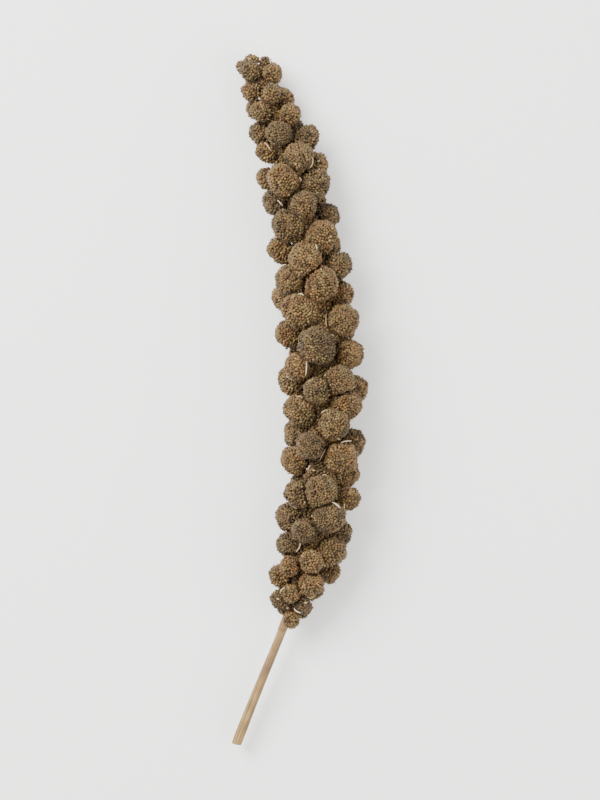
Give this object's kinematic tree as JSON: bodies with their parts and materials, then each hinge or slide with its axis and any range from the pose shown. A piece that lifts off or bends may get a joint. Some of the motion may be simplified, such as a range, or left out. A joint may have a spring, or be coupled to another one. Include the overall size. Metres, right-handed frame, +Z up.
{
  "type": "foxtail millet head",
  "caption": "Dried foxtail millet seed head, cut with a short piece of its straw stem, lying on its side with round lobes packed with small brown grain.",
  "frame": {"origin": "on the surface that the head lies on, under the middle of the whole", "axes": "+Y from the stem's cut end towards the head's tip, +Z up from the surface, +X the side that the head bows to"},
  "size_m": [0.0615, 0.3113, 0.0406],
  "materials": {
    "grain": "dry grain in thin papery husks, faintly glossy",
    "straw": "dry straw, satin, finely ribbed"
  },
  "bodies": {
    "root": {"seed_head": "grain", "stem": "straw"}
  },
  "joints": []
}
